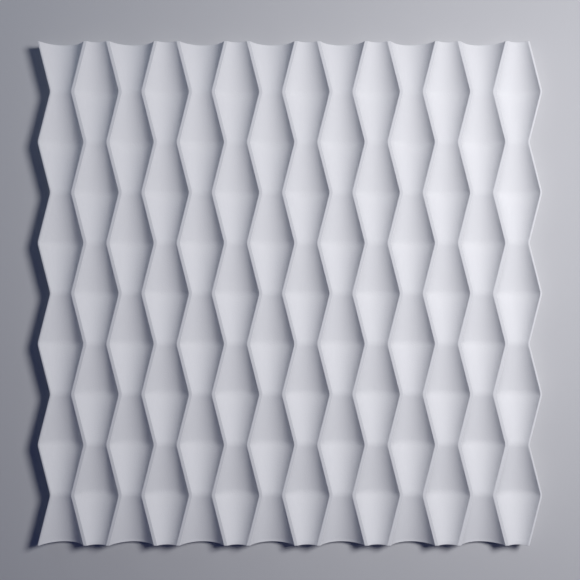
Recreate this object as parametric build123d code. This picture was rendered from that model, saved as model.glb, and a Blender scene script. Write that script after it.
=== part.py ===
from build123d import *
import os

# A square wall panel with a fluted relief, cast in one piece and lying on its back.
# X runs across the flutes, Y along them and Z up out of the relief, in millimetres.
# The origin is the middle of the back.
panel_width = 500.0      # over the zigzag sides
panel_length = 500.0     # along the flutes
panel_thickness = 20.0   # from the back to the tops of the ridges
flute_pairs = 7          # flutes come in pairs: where one of a pair is wide, the other is narrow
wave_count = 5           # whole zigzags of a ridge, from end to end of the panel
ridge_width = 3.4        # flat top of a ridge; each side has half of one, to join the next panel
ridge_swing = 12.6       # side to side travel of a ridge, between the sharp corners of its zigzag
bend_length = 5.2        # stretch along Y that the rounding of a corner takes up
wide_depth = 14.2        # depth of a flute at the sharp corners that open it
narrow_depth = 3.4       # its depth at the sharp corners that close it
edge_bevel = 0.5         # takes the sharpness off the front edges of the panel
run_strips = 5           # strips that the surface is made in between two corners
bend_strips = 2          # strips that it is made in round a corner

half_wave = panel_length / (2 * wave_count)
half_bend = bend_length / 2
bend_cut = ridge_swing / half_wave * half_bend / 2       # what its rounding takes off a corner
ridge_pitch = (panel_width - ridge_swing + bend_cut) / (2 * flute_pairs)
first_ridge = bend_cut / 2 - flute_pairs * ridge_pitch   # puts the outline in the middle of X
mean_depth = (wide_depth + narrow_depth) / 2
depth_change = (wide_depth - narrow_depth) / 2
back_end = panel_length / 2
front_end = -back_end


def spread(y):
    """How far the ridges stand apart at y: 1 at a sharp corner that opens the even flutes, -1 at
    one that closes them, straight between. Parabolas round the corners inside the panel."""
    along = (y - front_end) / half_wave
    corner = round(along)
    away = abs(along - corner) * half_wave
    if 0 < corner < 2 * wave_count and away < half_bend:
        away = (away ** 2 + half_bend ** 2) / bend_length
    opens = 1 if corner % 2 == 0 else -1
    return opens * (1 - 2 * away / half_wave)


def section(y, drop=0.0):
    """The panel's outline across Y at y: flat ridges with an arc scooped out between each two.
    A drop lowers the relief, for the bevel at the panel's ends."""
    apart = spread(y)
    top = panel_thickness - drop
    shoulder = top - edge_bevel
    ridges = []
    for number in range(2 * flute_pairs + 1):
        shift = apart * ridge_swing / 2
        if number % 2 == 0:
            shift = -shift
        ridges.append(first_ridge + number * ridge_pitch + shift)
    left = ridges[0]
    right = ridges[-1]
    edges = [Line((left, y, 0), (left, y, shoulder))]
    edges.append(Line((left, y, shoulder), (left + edge_bevel, y, top)))
    start = left + edge_bevel
    for number in range(2 * flute_pairs):
        depth = mean_depth + depth_change * (apart if number % 2 == 0 else -apart)
        near = ridges[number] + ridge_width / 2
        far = ridges[number + 1] - ridge_width / 2
        floor = ((near + far) / 2, y, top - depth)
        edges.append(Line((start, y, top), (near, y, top)))
        edges.append(ThreePointArc((near, y, top), floor, (far, y, top)))
        start = far
    edges.append(Line((start, y, top), (right - edge_bevel, y, top)))
    edges.append(Line((right - edge_bevel, y, top), (right, y, shoulder)))
    edges.append(Line((right, y, shoulder), (right, y, 0)))
    edges.append(Line((right, y, 0), (left, y, 0)))
    return Face(Wire(edges))


def strips(start, stop, count):
    """Where each of a number of equal strips from start to stop ends."""
    return [start + (stop - start) * number / count for number in range(1, count + 1)]


def section_places():
    """The sections between the bevels of the two ends: close together round each corner, and a few
    along each run, because an arc that changes along a straight run twists the surface."""
    places = [front_end + edge_bevel]
    for number in range(1, 2 * wave_count):
        corner = front_end + number * half_wave
        places += strips(places[-1], corner - half_bend, run_strips)
        places += strips(corner - half_bend, corner + half_bend, bend_strips)
    return places + strips(places[-1], back_end - edge_bevel, run_strips)


# One loft carries the section from end to end, with a strip of surface from each to the next.
sections = [section(front_end, drop=edge_bevel)]
sections += [section(y) for y in section_places()]
sections.append(section(back_end, drop=edge_bevel))
panel = loft(sections, ruled=True)

os.makedirs("parts", exist_ok=True)
export_step(panel, "parts/wall_panel.step")
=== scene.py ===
import math
import bpy
import numpy as np
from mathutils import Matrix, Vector


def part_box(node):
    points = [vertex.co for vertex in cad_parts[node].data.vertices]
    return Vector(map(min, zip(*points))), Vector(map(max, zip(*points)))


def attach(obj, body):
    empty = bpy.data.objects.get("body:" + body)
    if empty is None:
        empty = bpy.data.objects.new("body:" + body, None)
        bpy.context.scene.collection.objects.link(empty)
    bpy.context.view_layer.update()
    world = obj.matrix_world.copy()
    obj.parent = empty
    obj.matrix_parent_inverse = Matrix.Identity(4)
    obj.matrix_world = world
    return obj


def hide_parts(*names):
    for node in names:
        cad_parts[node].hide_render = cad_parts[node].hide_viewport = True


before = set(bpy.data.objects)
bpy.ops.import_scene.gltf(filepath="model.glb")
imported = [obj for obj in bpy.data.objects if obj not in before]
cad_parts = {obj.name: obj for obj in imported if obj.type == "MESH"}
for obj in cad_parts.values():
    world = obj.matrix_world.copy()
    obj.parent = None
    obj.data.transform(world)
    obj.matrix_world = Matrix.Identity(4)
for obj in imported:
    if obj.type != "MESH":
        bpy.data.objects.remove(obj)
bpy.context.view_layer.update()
mm = 0.001  # one millimetre in scene units


# shader values that can be added, subtracted and multiplied
class Value:
    # an output socket in a formula: each operator adds a Math node and gives its result
    def __init__(self, finish, socket):
        self.finish = finish
        self.socket = socket

    def maths(self, operation, first, second):
        return self.finish.node("ShaderNodeMath", {"operation": operation}, {0: first, 1: second})

    def __add__(self, other):
        return self.maths("ADD", self, other)

    def __sub__(self, other):
        return self.maths("SUBTRACT", self, other)

    def __rsub__(self, other):
        return self.maths("SUBTRACT", other, self)

    def __mul__(self, other):
        return self.maths("MULTIPLY", self, other)

    __radd__ = __add__
    __rmul__ = __mul__


class Finish:
    # the nodes of a material or of the world, built one by one
    def __init__(self, owner):
        owner.use_nodes = True
        self.owner = owner
        self.tree = owner.node_tree
        self.tree.nodes.clear()

    # settings are set before the sockets; a socket gets a number, a colour or another node's value
    def node(self, kind, settings, sockets, result=0):
        made = self.tree.nodes.new(kind)
        for name, setting in settings.items():
            setattr(made, name, setting)
        for name, given in sockets.items():
            if isinstance(given, Value):
                self.tree.links.new(given.socket, made.inputs[name])
            else:
                made.inputs[name].default_value = given
        return Value(self, made.outputs[result]) if len(made.outputs) else None

    # places on the piece, in metres, stretched by a factor for each axis
    def places(self, stretch=(1, 1, 1)):
        place = self.node("ShaderNodeTexCoord", {}, {}, "Object")
        return self.node("ShaderNodeMapping", {}, {"Vector": place, "Scale": stretch})

    # cloudy noise from 0 to 1 in patches of about the given size, with finer ones of some strength in them
    def noise(self, size, detail, places, strength=0.55):
        sockets = {"Vector": places, "Scale": 1 / size, "Detail": detail, "Roughness": strength}
        return self.node("ShaderNodeTexNoise", {}, sockets, "Fac")

    # 0 below the first value and 1 above the second, with a soft change between them
    def ramp(self, value, first, second):
        sockets = {"Value": value, "From Min": first, "From Max": second}
        return self.node("ShaderNodeMapRange", {"interpolation_type": "SMOOTHSTEP"}, sockets)

    # a share of one value with the rest of the other
    def mixture(self, share, value, other):
        return value * share + other * (1 - share)

    # the first colour where the amount is 0, the other where it is 1
    def blend(self, amount, colour, other):
        sockets = {0: amount, 6: (*colour, 1), 7: (*other, 1)}
        return self.node("ShaderNodeMix", {"data_type": "RGBA"}, sockets, 2)

    # half the spread below the middle where the value is 0, half of it above where the value is 1
    def around(self, middle, spread, value):
        return middle + (value - 0.5) * spread

    def bump(self, height, depth):
        return self.node("ShaderNodeBump", {}, {"Height": height, "Distance": depth})

    # 1 for what the camera sees, straight or in a mirror or glass, and 0 for light on the object
    def seen(self):
        rays = [self.node("ShaderNodeLightPath", {}, {}, name)
                for name in ("Is Camera Ray", "Is Glossy Ray", "Is Transmission Ray")]
        return self.node("ShaderNodeClamp", {}, {"Value": rays[0] + rays[1] + rays[2]})

    def shader(self, **sockets):
        named = {name.replace("_", " "): given for name, given in sockets.items()}
        return self.node("ShaderNodeBsdfPrincipled", {}, named)

    # the first shader where the amount is 0, the other where it is 1
    def mixShaders(self, amount, shader, other):
        return self.node("ShaderNodeMixShader", {}, {0: amount, 1: shader, 2: other})

    def surface(self, shader):
        self.node("ShaderNodeOutputMaterial", {}, {"Surface": shader})
        return self.owner


plasterFinish = {
    "white": (0.81, 0.81, 0.81),
    "shade": (0.79, 0.79, 0.79),
    "cloudSize": 90 * mm,
    "cloudDetail": 3,
    "cloudShare": 0.7,         # of the colour's variation; the grain has the rest
    "grainSize": 1.4 * mm,
    "grainDetail": 4,
    "grainDepth": 0.14 * mm,
    "roughness": 0.82,
    "roughnessSpread": 0.12,
}


# smooth white plaster as it comes out of the mould
def castPlaster():
    use = plasterFinish
    finish = Finish(bpy.data.materials.new("castPlaster"))
    places = finish.places()
    cloud = finish.noise(use["cloudSize"], use["cloudDetail"], places)
    grain = finish.noise(use["grainSize"], use["grainDetail"], places)
    tone = finish.mixture(use["cloudShare"], cloud, grain)
    return finish.surface(finish.shader(
        Base_Color=finish.blend(tone, use["shade"], use["white"]),
        Roughness=finish.around(use["roughness"], use["roughnessSpread"], grain),
        Normal=finish.bump(grain, use["grainDepth"]),
    ))


backFinish = {
    "pale": (0.76, 0.755, 0.745),
    "dull": (0.64, 0.635, 0.62),
    "strokeSize": 30 * mm,
    "strokeStretch": (0.12, 1.6, 1),  # long along X, narrow along Y
    "strokeDetail": 5,
    "strokeShare": 0.7,               # of the colour's variation; the pores have the rest
    "strokeDepth": 0.6 * mm,
    "poreSize": 1.2 * mm,
    "poreDetail": 3,
    "poreHeight": 0.5,                # beside the strokes' height of 1
    "roughness": 0.9,
    "roughnessSpread": 0.15,
}


# the open side of the mould, struck off level with a straight edge drawn along X
def struckPlaster():
    use = backFinish
    finish = Finish(bpy.data.materials.new("struckPlaster"))
    stroke = finish.noise(use["strokeSize"], use["strokeDetail"], finish.places(use["strokeStretch"]))
    pore = finish.noise(use["poreSize"], use["poreDetail"], finish.places())
    tone = finish.mixture(use["strokeShare"], stroke, pore)
    return finish.surface(finish.shader(
        Base_Color=finish.blend(tone, use["dull"], use["pale"]),
        Roughness=finish.around(use["roughness"], use["roughnessSpread"], pore),
        Normal=finish.bump(stroke + pore * use["poreHeight"], use["strokeDepth"]),
    ))


relief = {
    "flutePairs": 7,           # where one flute of a pair is wide, the other is narrow
    "waves": 5,                # whole zigzags from end to end
    "ridgeWidth": 3.4 * mm,
    "ridgeSwing": 12.6 * mm,   # side to side, between the sharp corners of the zigzag
    "bendLength": 5.2 * mm,    # what the rounding of a ridge's corner takes up along the flutes
    "floorBend": 7.2 * mm,     # and that of the crease across a flute's floor
    "wideDepth": 14.2 * mm,
    "narrowDepth": 3.4 * mm,
    "frontRound": 0.25 * mm,   # radius around the front of the panel
    "frontMargin": 0.4 * mm,   # strip on both sides of that rounding, which its shading doesn't pass
    "ridgeRound": 0.4 * mm,    # softness of the ridges' own edges
    "backBevel": 0.4 * mm,
    "sharpAngle": 40,          # edges that turn by more degrees aren't shaded smooth
    # the grid that carries the shape
    "runSteps": 5,             # rows along a straight run of the zigzag
    "bendSteps": 12,           # and over a crease
    "bendReach": 1.2,          # a crease's rows go a little past it, so that its shading ends with it
    "arcAngle": 60,            # half of a middling arc in degrees, which spaces the columns in a flute
    "arcSteps": 17,
    "besideRidge": (-1.5, -0.8, -0.4, 0, 0.4, 0.8, 1.5),  # columns at a ridge's edge, times its softness
    "roundSteps": 4,
}


def fluteCount():
    return 2 * relief["flutePairs"]


# from one corner of the zigzag to the next, along the panel
def halfWaveLength(low, high):
    return (high.y - low.y) / (2 * relief["waves"])


# triangle wave along the panel, 1 at both ends and at every second corner, -1 at the others; within half
# a bend h of a corner its distance d from the corner becomes (d*d + h*h) / 2h, at the ends only if asked
def zigzag(y, low, high, bend, roundEnds):
    halfWave = halfWaveLength(low, high)
    halfBend = bend / 2
    along = (y - low.y) / halfWave
    corner = np.rint(along)
    away = np.abs(along - corner) * halfWave
    inner = (corner > 0) & (corner < 2 * relief["waves"])
    rounded = (away < halfBend) & (inner | roundEnds)
    away = np.where(rounded, (away ** 2 + halfBend ** 2) / (2 * halfBend), away)
    return np.where(corner % 2 == 0, 1, -1) * (1 - 2 * away / halfWave)


# quarter circle around the front and a strip inside it: how far each point lies in from the outline
# and how far down
def frontCurve():
    turn = np.linspace(0, math.pi / 2, relief["roundSteps"])
    radius = relief["frontRound"]
    reach = np.append(radius * (1 - np.cos(turn)), radius + relief["frontMargin"])
    fall = np.append(radius * (1 - np.sin(turn)), 0)
    return reach, fall


# where the grid's rows lie along the panel, close together over the creases and at the ends, and how
# far the rounded ends lower each of them
def reliefRows(low, high):
    halfWave = halfWaveLength(low, high)
    halfBend = relief["floorBend"] / 2 * relief["bendReach"]
    reach, fall = frontCurve()
    corners = low.y + halfWave * np.arange(1, 2 * relief["waves"])
    bends = corners[:, None] + np.linspace(-halfBend, halfBend, relief["bendSteps"] + 1)
    ends = np.linspace(reach[-1], halfBend, relief["bendSteps"] // 2 + 1)[1:]
    starts = np.append(low.y + halfBend, corners + halfBend)
    stops = np.append(corners - halfBend, high.y - halfBend)
    steps = np.linspace(0, 1, relief["runSteps"] + 1)[1:-1]
    runs = starts[:, None] + (stops - starts)[:, None] * steps
    inner = np.sort(np.concatenate([low.y + ends, bends.ravel(), runs.ravel(), high.y - ends]))
    y = np.concatenate([low.y + reach, inner, high.y - reach[::-1]])
    drop = np.concatenate([fall, np.zeros(len(inner)), fall[::-1]])
    return y, drop


# the grid's columns: each lies a share of the way from one ridge to the next, plus an offset in
# metres, so that those beside a ridge keep their distance from it while the flute swells and narrows
def reliefColumns():
    beside = relief["ridgeWidth"] / 2 + relief["ridgeRound"] * np.array(relief["besideRidge"])
    angle = np.radians(np.linspace(-relief["arcAngle"], relief["arcAngle"], relief["arcSteps"] + 1))
    across = 0.5 + 0.5 * np.sin(angle) / np.sin(angle[-1])
    across = across[1:-1]
    share = np.concatenate([np.zeros(len(beside) + 1), across, np.ones(len(beside))])
    offset = np.concatenate([[0], beside, beside[-1] * (1 - 2 * across), -beside[::-1]])
    flutes = fluteCount()
    ridge = np.repeat(np.arange(flutes), len(share))
    share = np.tile(share, flutes)
    offset = np.tile(offset, flutes)
    reach, fall = frontCurve()
    rim = len(reach)
    ridge = np.concatenate([np.zeros(rim), ridge[1:], np.full(rim, flutes - 1)]).astype(int)
    share = np.concatenate([np.zeros(rim), share[1:], np.ones(rim)])
    offset = np.concatenate([reach, offset[1:], -reach[::-1]])
    drop = np.concatenate([fall, np.zeros(len(share) - 2 * rim), fall[::-1]])
    return ridge, share, offset, drop


# the ridges' middle lines in X, a pitch apart, each swaying with the zigzag against its neighbours;
# a rounded corner falls short of the sharp one by swing / halfWave * bend / 4
def ridgeLines(y, low, high):
    swing = relief["ridgeSwing"]
    bendCut = swing / halfWaveLength(low, high) * relief["bendLength"] / 4
    flutes = fluteCount()
    pitch = (high.x - low.x - swing + bendCut) / flutes
    number = np.arange(flutes + 1)
    sway = np.where(number % 2 == 0, -1, 1) * swing / 2
    middle = (low.x + high.x + bendCut) / 2
    along = zigzag(y, low, high, relief["bendLength"], False)[:, None]
    return middle + (number - relief["flutePairs"]) * pitch + sway * along


# the panel's front as arrays of points: across a flute of half width a and depth d the floor is an
# arc of radius (a*a + d*d) / 2d, and a smooth maximum joins it to the ridge tops
def reliefPoints(low, high):
    y, endDrop = reliefRows(low, high)
    ridge, share, offset, sideDrop = reliefColumns()
    lines = ridgeLines(y, low, high)
    left = lines[:, ridge]
    right = lines[:, ridge + 1]
    x = (1 - share) * left + share * right + offset
    halfWidth = (right - left - relief["ridgeWidth"]) / 2
    hollow = zigzag(y, low, high, relief["floorBend"], True)[:, None]
    opening = np.where(ridge % 2 == 0, 1, -1) * hollow
    depth = (relief["wideDepth"] + relief["narrowDepth"]) / 2
    depth = depth + opening * (relief["wideDepth"] - relief["narrowDepth"]) / 2
    radius = (halfWidth ** 2 + depth ** 2) / (2 * depth)
    aside = np.minimum(np.abs(x - (left + right) / 2), radius)
    sag = np.sqrt(radius ** 2 - aside ** 2) - radius + depth
    soft = np.maximum(relief["ridgeRound"] - np.abs(sag), 0)
    sunk = np.maximum(sag, 0) + soft ** 2 / (4 * relief["ridgeRound"])
    drop = np.maximum(endDrop[:, None], sideDrop)
    z = high.z - sunk - drop
    return np.stack([x, np.broadcast_to(y[:, None], x.shape), z], axis=-1)


# the front grid, a wall from its rim straight down, a small bevel and the back as one flat face
def panelShape(low, high):
    front = reliefPoints(low, high)
    rows, columns = front.shape[:2]
    index = np.arange(rows * columns).reshape(rows, columns)
    quads = np.stack([index[:-1, :-1], index[:-1, 1:], index[1:, 1:], index[1:, :-1]], axis=-1)
    rim = np.concatenate([index[0], index[1:, -1], index[-1, -2::-1], index[-2:0:-1, 0]])
    front = front.reshape(-1, 3)
    bevel = relief["backBevel"]
    shrink = 1 - 2 * bevel / (high.x - low.x)
    under = front[rim] - (0, 0, relief["frontMargin"])
    above = front[rim] * (1, 1, 0) + (0, 0, low.z + bevel)
    below = front[rim] * (shrink, shrink, 0) + (0, 0, low.z)
    ring = len(front) + np.arange(len(rim))
    rings = np.stack([rim, ring, ring + len(rim), ring + 2 * len(rim)])
    after = np.roll(rings, -1, axis=1)
    walls = np.stack([rings[1:], after[1:], after[:-1], rings[:-1]], axis=-1)
    faces = quads.reshape(-1, 4).tolist() + walls.reshape(-1, 4).tolist()
    faces.append(rings[-1, ::-1].tolist())
    return np.concatenate([front, under, above, below]), faces


def makePanel():
    points, faces = panelShape(*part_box("wall_panel"))
    mesh = bpy.data.meshes.new("panel")
    mesh.from_pydata(points.tolist(), [], faces)
    mesh.materials.append(castPlaster())
    mesh.materials.append(struckPlaster())
    finishes = np.zeros(len(faces), dtype=np.int32)
    finishes[-1] = 1  # the back is the last face
    mesh.polygons.foreach_set("material_index", finishes)
    mesh.shade_smooth()
    mesh.set_sharp_from_angle(angle=math.radians(relief["sharpAngle"]))
    panel = bpy.data.objects.new("panel", mesh)
    bpy.context.scene.collection.objects.link(panel)
    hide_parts("wall_panel")
    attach(panel, "root")
    print("panel made,", len(points), "points,", len(faces), "faces")


studio = {
    "floorSize": 40.0,
    "floorDrop": 0.05 * mm,            # keeps the floor clear of the panel's back
    "floorColour": (0.58, 0.58, 0.585),
    "floorShade": 0.985,               # of that colour, in the dark patches
    "floorPatch": 0.25,
    "floorDetail": 2,
    "floorRoughness": 0.9,
    "farColour": (0.49, 0.49, 0.50),   # what the camera sees far off, on the floor and above it
    "farFrom": 0.42,                   # from this distance the floor turns into the far colour
    "farTo": 1.1,
    "skyColour": (0.08, 0.2, 1.0),
    "skyStrength": 0.06,
}
lamps = {
    "key": {
        "place": (0.569, 0.252, 0.896),
        "aim": (0, -0.11, 0),
        "size": 0.35,
        "power": 9.46,
        "colour": (0.978, 0.976, 1.0),
    },
    "fill": {
        "place": (-0.6, 0.6, 0.3),
        "aim": (0, 0, 0),
        "size": 0.6,
        "power": 0.46,
        "colour": (0.73, 0.88, 1.0),
    },
}


# matte and pale near the panel, turning into an even tone far off
def paleFloor():
    finish = Finish(bpy.data.materials.new("paleFloor"))
    places = finish.places()
    tint = studio["floorColour"]
    darker = tuple(studio["floorShade"] * part for part in tint)
    cloud = finish.noise(studio["floorPatch"], studio["floorDetail"], places)
    colour = finish.blend(cloud, darker, tint)
    near = finish.shader(Base_Color=colour, Roughness=studio["floorRoughness"])
    far = finish.node("ShaderNodeEmission", {}, {"Color": (*studio["farColour"], 1)})
    away = finish.node("ShaderNodeVectorMath", {"operation": "LENGTH"}, {0: places}, "Value")
    amount = finish.ramp(away, studio["farFrom"], studio["farTo"]) * finish.seen()
    return finish.surface(finish.mixShaders(amount, near, far))


def makeFloor():
    corners = np.array([(-1, -1), (1, -1), (1, 1), (-1, 1)]) * studio["floorSize"] / 2
    points = np.column_stack([corners, np.full(4, -studio["floorDrop"])])
    mesh = bpy.data.meshes.new("floor")
    mesh.from_pydata(points.tolist(), [], [(0, 1, 2, 3)])
    mesh.materials.append(paleFloor())
    floor = bpy.data.objects.new("floor", mesh)
    bpy.context.scene.collection.objects.link(floor)


# a round lamp that shines at its aim and isn't seen itself
def makeLamp(name):
    use = lamps[name]
    light = bpy.data.lights.new(name, "AREA")
    light.shape = "DISK"
    light.size = use["size"]
    light.energy = use["power"]
    light.color = use["colour"]
    lamp = bpy.data.objects.new(name, light)
    lamp.location = use["place"]
    away = lamp.location - Vector(use["aim"])
    lamp.rotation_euler = away.to_track_quat("Z", "Y").to_euler()  # it shines along its own -Z
    lamp.visible_camera = False
    bpy.context.scene.collection.objects.link(lamp)


# faint light from all around, which the camera sees as the far colour
def makeSky():
    world = bpy.data.worlds.new("studio")
    bpy.context.scene.world = world
    finish = Finish(world)
    light = {"Color": (*studio["skyColour"], 1), "Strength": studio["skyStrength"]}
    sky = finish.node("ShaderNodeBackground", {}, light)
    far = finish.node("ShaderNodeBackground", {}, {"Color": (*studio["farColour"], 1)})
    finish.node("ShaderNodeOutputWorld", {}, {"Surface": finish.mixShaders(finish.seen(), sky, far)})


viewpoint = {
    "place": (0.0003, 0.0034, 0.800),
    "angle": 40.44,  # across the square picture, in degrees
}


def makeCamera():
    lens = bpy.data.cameras.new("camera")
    lens.angle = math.radians(viewpoint["angle"])
    camera = bpy.data.objects.new("camera", lens)  # unturned, it looks straight down with +Y at the top
    camera.location = viewpoint["place"]
    bpy.context.scene.collection.objects.link(camera)
    bpy.context.scene.camera = camera


makePanel()
makeFloor()
for name in lamps:
    makeLamp(name)
makeSky()
makeCamera()
bpy.context.scene.view_settings.view_transform = "Standard"
print("studio ready")
